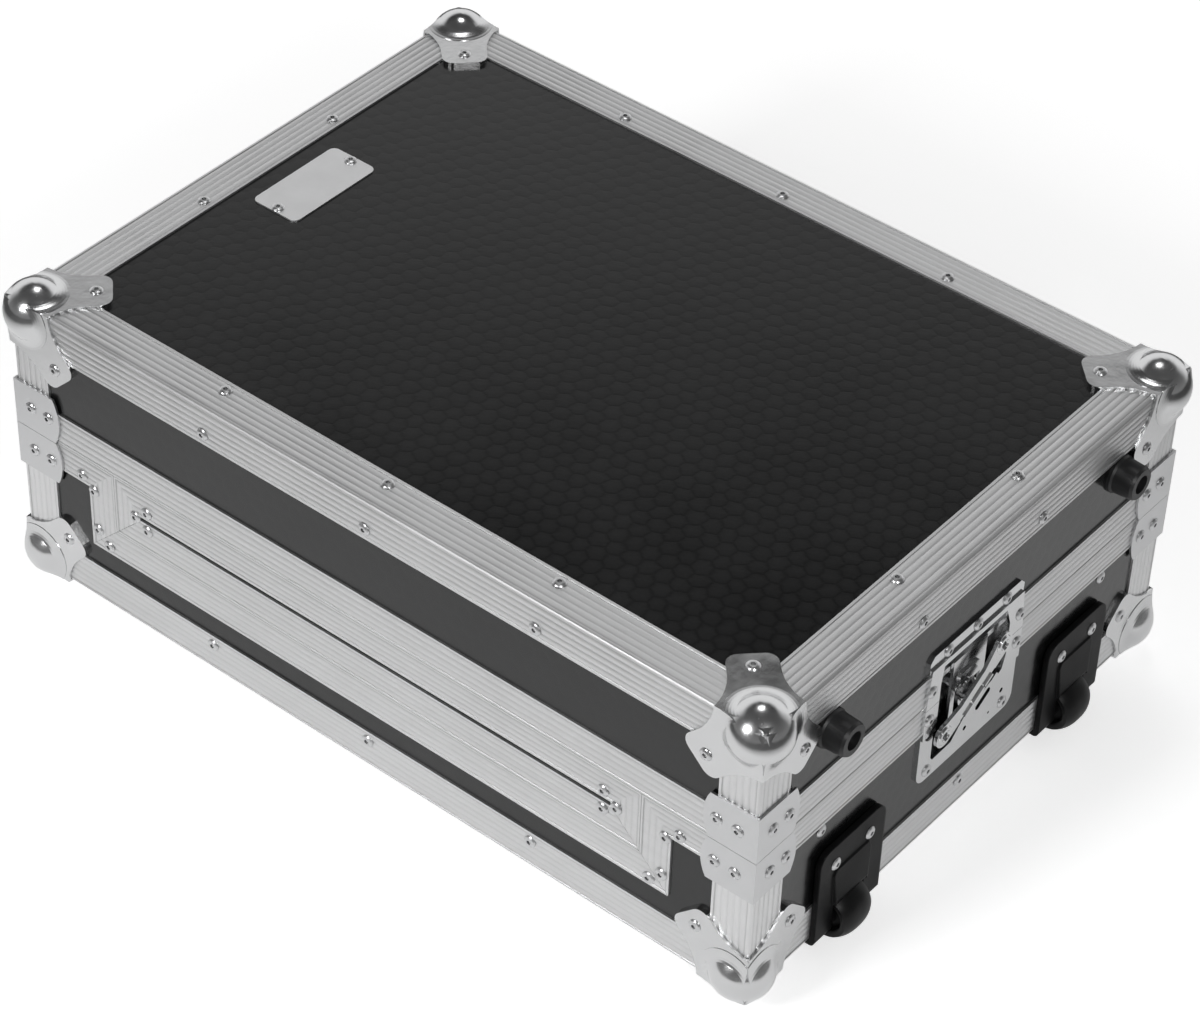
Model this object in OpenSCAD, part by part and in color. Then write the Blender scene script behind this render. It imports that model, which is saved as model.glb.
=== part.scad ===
// Flight case for a DJ controller: a base with a removable front panel, a lift-off lid,
// butterfly latches at both ends, corner wheels and rubber feet.
// Millimetres. X runs along the case, the front faces -Y, and the wheels are at the +X end.
// The case stands on its four rubber feet at Z = 0.

/* [Case] */
// Length over the aluminium edging
case_l = 613; // [520:1:900]
// Depth over the aluminium edging
case_w = 440; // [380:1:620]
// Height over the aluminium edging
case_h = 224; // [205:1:320]
// Height of the joint between base and lid
parting_z = 120; // [110:1:150]
// Thickness of the plywood boards
board_t = 9; // [6:0.5:12]
// Gap left between parts that close on each other
seat_gap = 0.3; // [0.2:0.05:0.5]

/* [Aluminium edging] */
// Leg of the corner angles
angle_leg = 30; // [24:1:34]
// Wall of the angles and of the closing profiles
metal_t = 1.5; // [1:0.1:2]
// Visible height of the base closing profile
base_rim_h = 22; // [19:0.5:26]
// Visible height of the lid closing profile
lid_rim_h = 25; // [20:0.5:30]
// Inner lip of a closing profile below its web
rim_lip = 10; // [6:0.5:12]
// Width of the tongue on the lid profile
tongue_w = 4.6; // [3:0.1:5]
// Height of the tongue on the lid profile
tongue_h = 4.6; // [3:0.1:6]
// Clearance of the tongue in its groove
tongue_fit = 0.4; // [0.3:0.05:0.6]
// Gap between bars that meet in a mitre
mitre_gap = 0.2; // [0.1:0.05:0.4]
// Rounding along the outer edge of the angles
edge_r = 2.5; // [1.5:0.1:3]
// Rounded ribs along each face of the angles
angle_ribs = 5; // [3:1:6]
// Rounded ribs along each closing profile
rim_ribs = 4; // [3:1:5]
// Depth of the valleys between the ribs
rib_d = 0.4; // [0.2:0.05:0.5]

/* [Front panel] */
// From the end of the case to the edging of the front opening
opening_inset = 62; // [58:1:90]
// Height of the edging below the front opening
sill_z = 48; // [44:1:54]
// Visible width of the edging round the front opening
liner_w = 23.5; // [20:0.5:24]
// Visible width of the edging on the front panel
panel_edge_w = 23; // [19:0.5:24]

/* [Ball corners] */
// Radius of the ball
ball_r = 21.5; // [20:0.5:23]
// From each face of the case in to the middle of the ball
ball_inset = 11.5; // [10:0.5:13]
// Sheet of the corners and braces
cap_t = 1.6; // [1.2:0.1:2]
// From each edge in to the rivet of a tongue
tongue_rivet = 39.5; // [38:0.5:41]
// Width of a tongue at its tip
cap_tip_w = 32; // [28:0.5:34]
// From the rivet to the end of a tongue
tongue_end = 10.5; // [9:0.5:12]
// Rounding of the tip of a tongue
tongue_round = 8; // [5:0.5:9]
// Width of a corner where it leaves the edge
cap_edge = 36; // [34:0.5:38]
// Radius at which the ball runs out into its plates
ball_foot_r = 23; // [21:0.5:24]

/* [Braces] */
// Reach of a brace along the face
brace_w = 39; // [36:0.5:42]
// Reach of a brace at its upper and lower end
brace_end_w = 34.5; // [32:0.5:36]
// From a brace on the lid to the tongue of the ball corner above it
lid_brace_gap = 12.3; // [8:0.1:20]
// From a brace on the base to the tongue of the ball corner below it
base_brace_gap = 31; // [24:0.5:36]

/* [Latches] */
// Half width of the latch plate
latch_half_w = 52; // [50:0.5:56]
// Reach of the latch plate below the joint
latch_down = 66; // [64:0.5:70]
// Reach of the latch plate above the joint
latch_up = 42; // [40:0.5:46]
// Thickness of the latch plate
latch_t = 2; // [1.5:0.1:2.5]
// Half width of the latch pocket, outside
pocket_half_w = 40; // [38:0.5:42]
// Depth of the latch pocket, outside
pocket_depth = 12.2; // [11.5:0.1:13.5]
// From the joint down to the axis of the spindle
spindle_drop = 19; // [17:0.5:21]
// Throw of the cam, half of the lift of the hook
cam_throw = 4; // [3:0.25:4.5]
// Turn of the folded wing from level
wing_angle = 32; // [0:1:45]
// From the spindle to the middle of a wing lobe
wing_reach = 34.2; // [28:0.2:35]
// Radius of a wing lobe
lobe_r = 8.8; // [7:0.1:9]

/* [Wheels] */
// Radius of the wheel
wheel_r = 20; // [18:0.5:21]
// Width of the wheel
wheel_w = 28; // [24:0.5:30]
// From the end face and the underside in to the axle
axle_inset = 4; // [4:0.25:6]
// From the side of the case to the middle of a wheel
wheel_from_side = 98; // [90:1:130]
// Width of a wheel housing
housing_w = 67; // [60:1:72]
// Height of a wheel housing
housing_h = 74; // [68:1:78]
// Thickness of a wheel housing
housing_t = 4; // [3:0.25:4]

/* [Feet] */
// Height of a rubber foot over its board
foot_h = 18; // [17.5:0.25:22]
// Width of a foot at its seat
foot_base_d = 27; // [25:0.5:29]
// Width of a foot at its tip
foot_tip_d = 23; // [20:0.5:24]
// Width of the screw well in a foot
foot_well_d = 13; // [11:0.5:14]
// From the edges of the case to the feet underneath
foot_inset = 78; // [74:1:110]
// Gap between a foot on the lid and the tongue of the ball corner beside it
lid_foot_gap = 0.6; // [0.4:0.1:10]

/* [Carry handle] */
// Width of the handle plate
handle_w = 140; // [126:1:170]
// Height of the handle plate
handle_h = 64; // [60:0.5:66]
// Depth of the handle pocket, outside
handle_depth = 16; // [15.5:0.5:18]
// From the pivot of the bail to the grip
bail_reach = 26; // [22:0.5:28]
// Width of the bail between its arms
bail_w = 100; // [90:1:108]

/* [Name plate] */
// Length of the blank plate on the lid
plate_l = 80.5; // [60:0.5:100]
// Width of the blank plate on the lid
plate_w = 39; // [30:0.5:50]
// From the left end of the case to the plate
plate_from_end = 44; // [40:1:80]

/* [Foam] */
// Thickness of the floor and wall foam
foam_t = 10; // [6:0.5:14]
// Thickness of the foam blocks at the ends
end_foam_t = 20; // [18:0.5:30]
// Thickness of the foam under the lid
lid_foam_t = 15; // [10:0.5:20]

/* [Rivets] */
// Width of a rivet head
rivet_d = 9; // [7:0.25:10]
// Height of a rivet head
rivet_h = 1.6; // [1.2:0.1:1.8]
// From the outer edge in to the rivets of the angles
rivet_inset = 22; // [18:0.5:24]
// From the end of the case to the outer rivets of the long angles
long_rivet_inset = 170.5; // [120:0.5:200]
// From the side of the case to the rivets of the short angles
end_rivet_inset = 157; // [120:0.5:180]

/* [Hidden] */
$fn = 48;

aluminium = "#b4b5b7";
steel = "#9fa1a4";
chrome = "#d0d2d5";
phenolic = "#2b2d2f";
plastic = "#1c1d1e";
foam = "#3a3b3d";

cut = 1;
pair = [-1, 1];
ball_reach = ball_r - ball_inset;
foot_reach = foot_h - metal_t;
shift_x = (foot_reach - ball_reach) / 2;
wall_in = metal_t + board_t;
rim_depth = wall_in + metal_t;
web_h = tongue_h + tongue_fit + metal_t;
lid_z = parting_z + seat_gap;
base_board_top = parting_z - web_h;
lid_board_low = lid_z + web_h;
inner_top = case_h - wall_in;

module place() translate([-shift_x, 0, foot_reach]) children();
module flip(v) if (norm(v) == 0) children(); else mirror(v) children();

// Faces of the case: x along the face, y up or back, z outward, zero on the aluminium
module on_front() translate([0, -case_w / 2, 0]) rotate([90, 0, 0]) children();
module on_rear() rotate([0, 0, 180]) on_front() children();
module on_right() translate([case_l / 2, 0, 0]) rotate([90, 0, 90]) children();
module on_left() rotate([0, 0, 180]) on_right() children();
module on_top() translate([0, 0, case_h]) children();
module on_bottom() rotate([180, 0, 0]) children();
module on_ends() { on_right() children(); on_left() children(); }

// A block given by its low and high corners
module block(a, b) translate(a) cube(b - a);

module rounded(w, h, r) {
  square([w - 2 * r, h], center = true);
  square([w, h - 2 * r], center = true);
  for (x = pair, y = pair) translate([x * (w / 2 - r), y * (h / 2 - r)]) circle(r);
}

/* Aluminium profiles. Points are [height on the face, outward]. */
rib_steps = 4;
rib_land = 2.2;
mitre_run = mitre_gap * sqrt(2);
function rib_row(low, high, n) = [[low - rib_d, 0],
  for (i = [0 : n * rib_steps]) let (t = (i % rib_steps) / rib_steps)
    [low + (high - low) * i / (n * rib_steps), -rib_d * pow(2 * t - 1, 2)],
  [high + rib_d, 0]];
function ribbed_face(h, n, edge) = rib_row(rib_land, h - edge - 2 * rib_d, n);
function ribbed_top(h, n, edge) = [for (p = ribbed_face(h, n, edge)) [h + p[1], p[0] - h]];
function reversed(list) = [for (i = [len(list) - 1 : -1 : 0]) list[i]];

function edge_arc(h) = [for (a = [90 : -18 : 0])
  [h - edge_r, -edge_r] + edge_r * [cos(a), sin(a)]];
module angle_profile() polygon(concat([[0, 0]], ribbed_face(angle_leg, angle_ribs, edge_r),
  edge_arc(angle_leg), reversed(ribbed_top(angle_leg, angle_ribs, edge_r)),
  [[angle_leg, -angle_leg], [angle_leg - metal_t, -angle_leg],
  [angle_leg - metal_t, -metal_t], [0, -metal_t]]));

// Closing profile of height h: board side at 0, mating edge at h
module rim_body(h) polygon(concat([[0, 0]], ribbed_face(h, rim_ribs, 1), [[h, 0], [h, -rim_depth],
  [h - web_h - rim_lip, -rim_depth], [h - web_h - rim_lip, -wall_in],
  [h - web_h, -wall_in], [h - web_h, -metal_t], [0, -metal_t]]));
module groove_profile(h) difference() {
  rim_body(h);
  translate([h - tongue_h - tongue_fit, -rim_depth / 2 - tongue_w / 2 - tongue_fit])
    square([tongue_h + tongue_fit + cut, tongue_w + 2 * tongue_fit]);
}
module tongue_profile(h) {
  rim_body(h);
  translate([h - cut, -rim_depth / 2 - tongue_w / 2]) square([tongue_h + cut, tongue_w]);
}

// Extrude a profile along the face, or up the face
module along(len) rotate([90, 0, 90]) linear_extrude(len, center = true) children();
module upward(z0, z1) translate([0, z1, 0]) rotate([90, 0, 0]) linear_extrude(z1 - z0)
  children();
// Keep what lies between the mitres that meet the neighbouring faces
module mitred(len) intersection() {
  children();
  outer = len / 2 + cut - mitre_run / 2;
  inner = outer - angle_leg - 2 * cut;
  rotate([90, 0, 0]) linear_extrude(4 * case_h, center = true) polygon([
    [-outer, cut], [outer, cut], [inner, -angle_leg - cut], [-inner, -angle_leg - cut]]);
}
// Keep what lies inside an outline drawn on the face
module within(points) intersection() {
  children();
  translate([0, 0, -angle_leg - 2 * cut]) linear_extrude(angle_leg + 4 * cut) polygon(points);
}

/* Places that several parts share */
// Middle of the rounded tip of a tongue, along and across it, and its reach along the edges
cap_tip_s = tongue_rivet * sqrt(2) + tongue_end - tongue_round;
cap_tip_q = cap_tip_w / 2 - tongue_round;
cap_reach = (cap_tip_s + cap_tip_q) / sqrt(2) + tongue_round;
lid_brace_h = case_h - lid_z - cap_reach - lid_brace_gap;
base_brace_h = parting_z - cap_reach - base_brace_gap;
pocket_low = parting_z - latch_down + 11.5;
pocket_high = parting_z + latch_up - 11;
pocket_wall = 1.2;
pocket_fit = 0.2;
opening_x = case_l / 2 - opening_inset;
seam_x = opening_x - liner_w;
seam_z = sill_z + liner_w;
panel_x = seam_x - seat_gap;
panel_z = seam_z + seat_gap;
tongue_top = parting_z - web_h - seat_gap;
wheel_y = case_w / 2 - wheel_from_side;
cup_gap = 1.5;
cup_wall = 2.5;
cup_reach = axle_inset + wheel_r + cup_gap + cup_wall;
cup_w = wheel_w + 2 * (cup_gap + cup_wall);
cup_fit = 0.3;
axle_r = 3.75;
run_fit = 0.1;
handle_z = (angle_leg + parting_z - base_rim_h) / 2;
handle_pocket_w = handle_w - 26;
handle_pocket_h = handle_h - 18;
end_foam_in = wall_in + end_foam_t;
wall_foam_in = wall_in + foam_t;
floor_foam_top = wall_in + foam_t;
lid_foam_low = inner_top - lid_foam_t;

// Room for a latch pocket in the end walls
module latch_room() on_ends() block(
  [-pocket_half_w - pocket_fit, pocket_low - pocket_fit, -rim_depth - cut],
  [pocket_half_w + pocket_fit, pocket_high + pocket_fit, cut]);
// Room for the wheel cups in the end board, the floor and the angle
module cup_room() for (y = pair) translate([case_l / 2, y * wheel_y, 0]) block(
  [-cup_reach - cup_fit, -cup_w / 2 - cup_fit, -cut],
  [cut, cup_w / 2 + cup_fit, cup_reach + cup_fit]);
module screw_holes(places, depth, r) for (p = places) translate([p[0], p[1], -depth])
  cylinder(r = r, h = depth + cut);

screw_r = 2;
screw_depth = 7;
base_foot_places = [for (x = pair, y = pair)
  [x * (case_l / 2 - foot_inset - (x > 0 ? 10 : 0)), y * (case_w / 2 - foot_inset)]];
lid_foot_drop = angle_leg + foot_base_d / 2 + seat_gap;
lid_foot_from_side = (cap_tip_s + cap_tip_q) / sqrt(2) + sqrt(
  pow(tongue_round + foot_base_d / 2 + lid_foot_gap, 2)
  - pow(lid_foot_drop - (cap_tip_s - cap_tip_q) / sqrt(2), 2));
lid_foot_places = [for (y = pair) [y * (case_w / 2 - lid_foot_from_side),
  case_h - lid_foot_drop]];

/* Boards */
module base_floor_panel() color(phenolic) place() difference() {
  block([-case_l / 2 + metal_t, -case_w / 2 + metal_t, metal_t],
    [case_l / 2 - metal_t, case_w / 2 - metal_t, wall_in]);
  cup_room();
  translate([0, 0, metal_t]) on_bottom()
    screw_holes(base_foot_places, screw_depth, screw_r + 0.05);
}
module long_board(z0, z1) block([-case_l / 2 + metal_t, z0, -wall_in],
  [case_l / 2 - metal_t, z1, -metal_t]);
module end_board(z0, z1) block([-case_w / 2 + wall_in, z0, -wall_in],
  [case_w / 2 - wall_in, z1, -metal_t]);
module base_front_panel() color(phenolic) place() on_front() difference() {
  long_board(wall_in, base_board_top);
  block([-seam_x - web_h, seam_z - web_h, -wall_in - cut],
    [seam_x + web_h, base_board_top + cut, 0]);
}
module base_rear_panel() color(phenolic) place() difference() {
  on_rear() long_board(wall_in, base_board_top);
  on_rear() translate([0, handle_z, -wall_in - cut]) linear_extrude(board_t + 2 * cut)
    rounded(handle_pocket_w + 2 * pocket_fit, handle_pocket_h + 2 * pocket_fit, 6);
}
module base_left_panel() color(phenolic) place() difference() {
  on_left() end_board(wall_in, base_board_top);
  latch_room();
}
module base_right_panel() color(phenolic) place() difference() {
  on_right() end_board(wall_in, base_board_top);
  latch_room();
  cup_room();
}
module lid_top_panel() color(phenolic) place()
  block([-case_l / 2 + metal_t, -case_w / 2 + metal_t, inner_top],
    [case_l / 2 - metal_t, case_w / 2 - metal_t, case_h - metal_t]);
module lid_front_panel() color(phenolic) place() on_front()
  long_board(lid_board_low, inner_top);
module lid_rear_panel() color(phenolic) place() on_rear()
  long_board(lid_board_low, inner_top);
module lid_left_panel() color(phenolic) place() difference() {
  on_left() end_board(lid_board_low, inner_top);
  latch_room();
}
module lid_right_panel() color(phenolic) place() difference() {
  on_right() end_board(lid_board_low, inner_top);
  latch_room();
  translate([-metal_t, 0, 0]) on_right()
    screw_holes(lid_foot_places, screw_depth, screw_r + 0.05);
}

/* Aluminium angles */
module ring_of_angles() {
  for (turn = [0, 180]) rotate([0, 0, turn]) {
    on_front() mitred(case_l) along(case_l) angle_profile();
    on_right() mitred(case_w) along(case_w) angle_profile();
  }
}
module base_bottom_angles() color(aluminium) place() difference() {
  translate([0, 0, angle_leg]) mirror([0, 0, 1]) ring_of_angles();
  cup_room();
}
module lid_top_angles() color(aluminium) place()
  translate([0, 0, case_h - angle_leg]) ring_of_angles();
module corner_angles(z0, z1) for (x = [0, 1], y = [0, 1])
  flip([x, 0, 0]) flip([0, y, 0]) translate([case_l / 2 - angle_leg, -case_w / 2, z0])
    linear_extrude(z1 - z0) mirror([0, 1]) angle_profile();
module base_corner_angles() color(aluminium) place()
  corner_angles(angle_leg, parting_z - base_rim_h);
module lid_corner_angles() color(aluminium) place()
  corner_angles(lid_z + lid_rim_h, case_h - angle_leg);

/* Closing profiles */
module base_rim_bar(len) translate([0, parting_z - base_rim_h, 0]) mitred(len)
  along(len) groove_profile(base_rim_h);
module lid_rim_bar(len) translate([0, lid_z + lid_rim_h, 0]) mirror([0, 1, 0]) mitred(len)
  along(len) tongue_profile(lid_rim_h);
module base_rims() color(aluminium) place() difference() {
  union() {
    on_rear() base_rim_bar(case_l);
    on_front() for (side = [0, 1]) flip([side, 0, 0]) within([
      [-case_l, parting_z - base_rim_h - cut], [-opening_x, parting_z - base_rim_h - cut],
      [-opening_x, parting_z - base_rim_h], [-seam_x, parting_z],
      [-seam_x, parting_z + cut], [-case_l, parting_z + cut]]) base_rim_bar(case_l);
    on_ends() base_rim_bar(case_w);
  }
  latch_room();
}
module lid_rims() color(aluminium) place() difference() {
  union() {
    on_front() lid_rim_bar(case_l);
    on_rear() lid_rim_bar(case_l);
    on_ends() lid_rim_bar(case_w);
  }
  latch_room();
}
module opening_liner() color(aluminium) place() on_front() {
  for (side = [0, 1]) flip([side, 0, 0]) within([[-opening_x, sill_z], [-seam_x, seam_z],
    [-seam_x, parting_z], [-opening_x, parting_z - base_rim_h]])
    translate([-opening_x, 0, 0]) upward(sill_z, parting_z) groove_profile(liner_w);
  within([[mitre_run - opening_x, sill_z], [opening_x - mitre_run, sill_z],
    [seam_x - mitre_run, seam_z], [mitre_run - seam_x, seam_z]])
    translate([0, sill_z, 0]) along(2 * opening_x) groove_profile(liner_w);
}

/* Removable front panel */
panel_in_x = panel_x - panel_edge_w;
tongue_out = tongue_h + cut;
module front_panel_board() color(phenolic) place() on_front()
  block([-panel_x + web_h, panel_z + web_h, -wall_in],
    [panel_x - web_h, parting_z - web_h, -metal_t]);
module front_panel_top_rim() color(aluminium) place() on_front()
  within([[-panel_in_x, parting_z - base_rim_h], [panel_in_x, parting_z - base_rim_h],
    [panel_x, parting_z], [-panel_x, parting_z]])
    translate([0, parting_z - base_rim_h, 0]) along(2 * panel_x) groove_profile(base_rim_h);
module front_panel_edging() color(aluminium) place() on_front() {
  difference() {
    for (side = [0, 1]) flip([side, 0, 0]) within([
      [panel_in_x, panel_z + panel_edge_w], [panel_x + tongue_out, panel_z - tongue_out],
      [panel_x + tongue_out, tongue_top], [panel_x, tongue_top], [panel_x, parting_z],
      [panel_in_x, parting_z - base_rim_h]])
      translate([panel_in_x, 0, 0]) upward(panel_z - tongue_out, parting_z)
        tongue_profile(panel_edge_w);
    lid_tongue_room();
  }
  low = panel_z - tongue_out;
  high = panel_z + panel_edge_w;
  low_x = panel_x + tongue_out - mitre_run;
  high_x = panel_in_x - mitre_run;
  within([[-low_x, low], [low_x, low], [high_x, high], [-high_x, high]])
    translate([0, high, 0]) mirror([0, 1, 0])
      along(2 * (panel_x + tongue_out)) tongue_profile(panel_edge_w);
}
// The groove that the tongue of the lid enters, along the whole front
module lid_tongue_room() {
  half = tongue_w / 2 + tongue_fit;
  block([-case_l, parting_z - tongue_h - tongue_fit, -rim_depth / 2 - half],
    [case_l, parting_z + cut, -rim_depth / 2 + half]);
}
module front_panel_foam() color(foam) place() on_front()
  block([-panel_in_x, panel_z + web_h + rim_lip + seat_gap, -wall_foam_in],
    [panel_in_x, parting_z - web_h - rim_lip - seat_gap, -wall_in]);

/* Ball corners: the corner of the case is the origin, the case fills the positive side */
// Hollow ring that leads from a small step on the plate up to the ball
ball_lift = ball_inset + cap_t;
ball_step = 0.35;
ball_bite = 0.2;
ring_steps = 6;
ring_h = ball_lift + ball_step;
bitten_r = ball_r - ball_bite;
ring_r = (pow(ball_foot_r, 2) + pow(ring_h, 2) - pow(bitten_r, 2)) / (2 * (bitten_r - ring_h));
ring_turn = atan2(ball_foot_r, ring_h + ring_r);
ring_arc = [for (i = [0 : ring_steps]) let (a = ring_turn * i / ring_steps)
  [ball_foot_r - ring_r * sin(a), ball_step + ring_r * (1 - cos(a))]];
ring_in = ring_arc[ring_steps][0] - 3;
module ball_foot_profile() polygon(concat([[ball_foot_r, -cap_t / 2]], ring_arc,
  [[ring_in, ring_arc[ring_steps][1]], [ring_in, -cap_t / 2]]));
// Outline of a tongue: waisted between its ears and its tip, which lies on the diagonal.
// The points of one side are given along and across the diagonal.
arc_steps = 6;
cap_neck = cap_tip_s - 6;
function on_diagonal(p, side) = [p[0] + side * p[1], p[0] - side * p[1]] / sqrt(2);
function cap_side(ear) = let (
    half = cap_tip_w / 2,
    waist_r = (pow(cap_neck - ear[0], 2) + pow(ear[1] - half, 2)) / (2 * (ear[1] - half)),
    waist_turn = asin((cap_neck - ear[0]) / waist_r))
  concat([for (i = [1 : arc_steps]) let (a = waist_turn * (1 - i / arc_steps))
      [cap_neck - waist_r * sin(a), half + waist_r * (1 - cos(a))]],
    [for (i = [0 : arc_steps]) let (a = 90 * (1 - i / arc_steps))
      [cap_tip_s, cap_tip_q] + tongue_round * [cos(a), sin(a)]]);
module cap_outline(grow) {
  side = cap_side([cap_edge - grow, cap_edge + grow] / sqrt(2));
  polygon(concat([[-grow, -grow], [cap_edge, -grow]], [for (p = side) on_diagonal(p, 1)],
    [for (p = reversed(side)) on_diagonal(p, -1)], [[-grow, cap_edge]]));
}
module on_cap_faces() {
  children();
  mirror([0, 1, -1]) children();
  mirror([1, 0, -1]) children();
}
module cap_leg() translate([0, 0, -cap_t]) linear_extrude(cap_t) cap_outline(cap_t);
module cap_tip() intersection() {
  translate([0, 0, -cap_t]) linear_extrude(cap_t + metal_t) cap_outline(cap_t);
  block([angle_leg + 0.1, angle_leg + 0.1, -2 * cap_t],
    [3 * angle_leg, 3 * angle_leg, 2 * metal_t]);
}
module cap_collar() intersection() {
  translate([ball_inset, ball_inset, -cap_t]) mirror([0, 0, 1])
    rotate_extrude() ball_foot_profile();
  block([-cap_t, -cap_t, -9], [2 * ball_r, 2 * ball_r, 0]);
}
module ball_corner() {
  difference() {
    union() {
      on_cap_faces() { cap_leg(); cap_collar(); }
      translate([1, 1, 1] * ball_inset) sphere(ball_r);
    }
    cube(3 * ball_r);
    translate([1, 1, 1] * ball_inset) sphere(ball_r - cap_t);
  }
  on_cap_faces() cap_tip();
}
module at_corners(top) for (x = pair, y = pair)
  translate([x * case_l / 2, y * case_w / 2, top ? case_h : 0])
    flip([max(x, 0), 0, 0]) flip([0, max(y, 0), 0]) flip([0, 0, top ? 1 : 0]) children();
module base_ball_corners() color(chrome) place() at_corners(false) ball_corner();
module lid_ball_corners() color(chrome) place() at_corners(true) ball_corner();

/* Corner braces beside the joint */
module brace_plate(h) {
  rise = brace_w - brace_end_w;
  arc_r = (h * h / 4 + rise * rise) / (2 * rise);
  intersection() {
    translate([brace_w - arc_r, h / 2, 0]) cylinder(r = arc_r, h = cap_t, $fn = 96);
    block([-cap_t, 0, -cut], [brace_w + cut, h, 2 * cap_t]);
  }
}
module braces(z0, h) for (x = [0, 1], y = [0, 1]) flip([x, 0, 0]) flip([0, y, 0])
  translate([-case_l / 2, -case_w / 2, z0]) {
    rotate([90, 0, 0]) brace_plate(h);
    mirror([1, -1, 0]) rotate([90, 0, 0]) brace_plate(h);
  }
module base_corner_braces() color(steel) place()
  braces(parting_z - base_brace_h, base_brace_h);
module lid_corner_braces() color(steel) place() braces(lid_z, lid_brace_h);

/* Rivets: a domed head with a dimple, seated on the face at z = 0 */
module rivet() rotate_extrude($fn = 32) polygon([[0, 0], [rivet_d / 2, 0],
  [rivet_d / 2, rivet_h * 0.2], [rivet_d * 0.42, rivet_h * 0.68],
  [rivet_d * 0.29, rivet_h * 0.96], [rivet_d * 0.17, rivet_h], [rivet_d * 0.15, rivet_h * 0.4],
  [0, rivet_h * 0.4]]);
module rivets_at(places, level = 0) for (p = places) translate([p[0], p[1], level]) rivet();
long_rivet_x = case_l / 2 - long_rivet_inset;
end_rivet_y = case_w / 2 - end_rivet_inset;
long_rivets = [-long_rivet_x, 0, long_rivet_x];
function edge_rivets(xs, y) = [for (x = xs) [x, y]];
long_up = case_h - rivet_inset;
module cap_rivets(top) at_corners(top) on_cap_faces()
  mirror([0, 0, 1]) rivets_at([[tongue_rivet, tongue_rivet]], cap_t);
brace_rivets = [13.3, 29];
module brace_rivet_heads(z) {
  on_front() rivets_at([for (s = pair, r = brace_rivets) [s * (case_l / 2 - r), z]], cap_t);
  on_rear() rivets_at([for (s = pair, r = brace_rivets) [s * (case_l / 2 - r), z]], cap_t);
  on_ends() rivets_at([for (s = pair, r = brace_rivets) [s * (case_w / 2 - r), z]], cap_t);
}
liner_corner = 6;
housing_rivet = 16;
module base_rivets() color(steel) place() {
  cap_rivets(false);
  brace_rivet_heads(parting_z - base_brace_h / 2);
  on_front() rivets_at(edge_rivets(long_rivets, rivet_inset));
  on_rear() rivets_at(edge_rivets(long_rivets, rivet_inset));
  on_ends() rivets_at([[0, rivet_inset]]);
  on_bottom() rivets_at([for (x = long_rivets, s = pair) [x, s * (case_w / 2 - rivet_inset)]]);
  on_bottom() rivets_at([for (s = pair) [-case_l / 2 + rivet_inset, s * end_rivet_y]]);
  on_front() rivets_at([for (s = pair, p = [
    [opening_x + liner_corner, parting_z - 16], [opening_x - 4.5, parting_z - base_rim_h - 2],
    [opening_x - liner_corner, sill_z + 15.5], [opening_x - 15.5, sill_z + liner_corner]])
    [s * p[0], p[1]]]);
  on_ends() latch_base_rivets();
  on_right() rivets_at([for (s = pair, t = pair)
    [s * wheel_y + t * (housing_w / 2 - housing_rivet), housing_h - housing_rivet]], housing_t);
  on_right() rivets_at([for (s = pair)
    [s * (wheel_y + housing_w / 2 - rivet_d / 2), housing_h + 2 * rivet_d]], -metal_t);
  on_rear() rivets_at([for (s = pair, t = pair)
    [s * (handle_w / 2 - 7), handle_z + t * (handle_h / 2 - 9)]], 0);
}
module lid_rivets() color(steel) place() {
  cap_rivets(true);
  brace_rivet_heads(lid_z + lid_brace_h / 2);
  on_top() rivets_at([for (x = long_rivets, s = pair) [x, s * (case_w / 2 - rivet_inset)]]);
  on_top() rivets_at([for (s = pair, t = pair)
    [t * (case_l / 2 - rivet_inset), s * end_rivet_y]]);
  on_front() rivets_at(edge_rivets(long_rivets, long_up));
  on_rear() rivets_at(edge_rivets(long_rivets, long_up));
  on_ends() rivets_at([for (s = pair) [s * end_rivet_y, long_up]]);
  on_ends() latch_lid_rivets();
  on_top() rivets_at([for (s = pair)
    [-case_l / 2 + plate_from_end + plate_w / 2, s * (plate_l / 2 - 4.5)]], plate_t - metal_t);
}
module front_panel_rivets() color(steel) place() on_front() rivets_at([for (s = pair, p = [
  [panel_x - panel_edge_w + 4.5, parting_z - base_rim_h - 2.5],
  [panel_in_x - 6, parting_z - 16], [panel_in_x - 6, panel_z + panel_edge_w - 6]])
  [s * p[0], p[1]]]);

/* Blank plate on the lid */
plate_t = 1;
module name_plate() color(steel) place() on_top()
  translate([-case_l / 2 + plate_from_end + plate_w / 2, 0, -metal_t])
    linear_extrude(plate_t) rounded(plate_w, plate_l, 5);

/* Rubber feet */
well_floor = 8;
module foot() rotate_extrude() polygon([[screw_r + 0.2, 0], [foot_base_d / 2, 0],
  [foot_base_d / 2, 2], [foot_base_d / 2 - 1, 3.5], [foot_tip_d / 2 + 0.3, foot_h - 2],
  [foot_tip_d / 2 - 0.8, foot_h], [foot_well_d / 2, foot_h], [foot_well_d / 2, well_floor],
  [screw_r + 0.2, well_floor]]);
module foot_screw() {
  translate([0, 0, -screw_depth + 0.2]) cylinder(r = screw_r, h = well_floor + screw_depth);
  translate([0, 0, well_floor]) difference() {
    cylinder(r1 = 4.5, r2 = 3.6, h = 3);
    translate([-0.6, -5, 1.8]) cube([1.2, 10, 2]);
  }
}
module base_feet() color(plastic) place() translate([0, 0, metal_t]) on_bottom()
  for (p = base_foot_places) translate(p) foot();
module base_foot_screws() color(steel) place() translate([0, 0, metal_t]) on_bottom()
  for (p = base_foot_places) translate(p) foot_screw();
module lid_feet() color(plastic) place() translate([-metal_t, 0, 0]) on_right()
  for (p = lid_foot_places) translate(p) foot();
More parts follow.
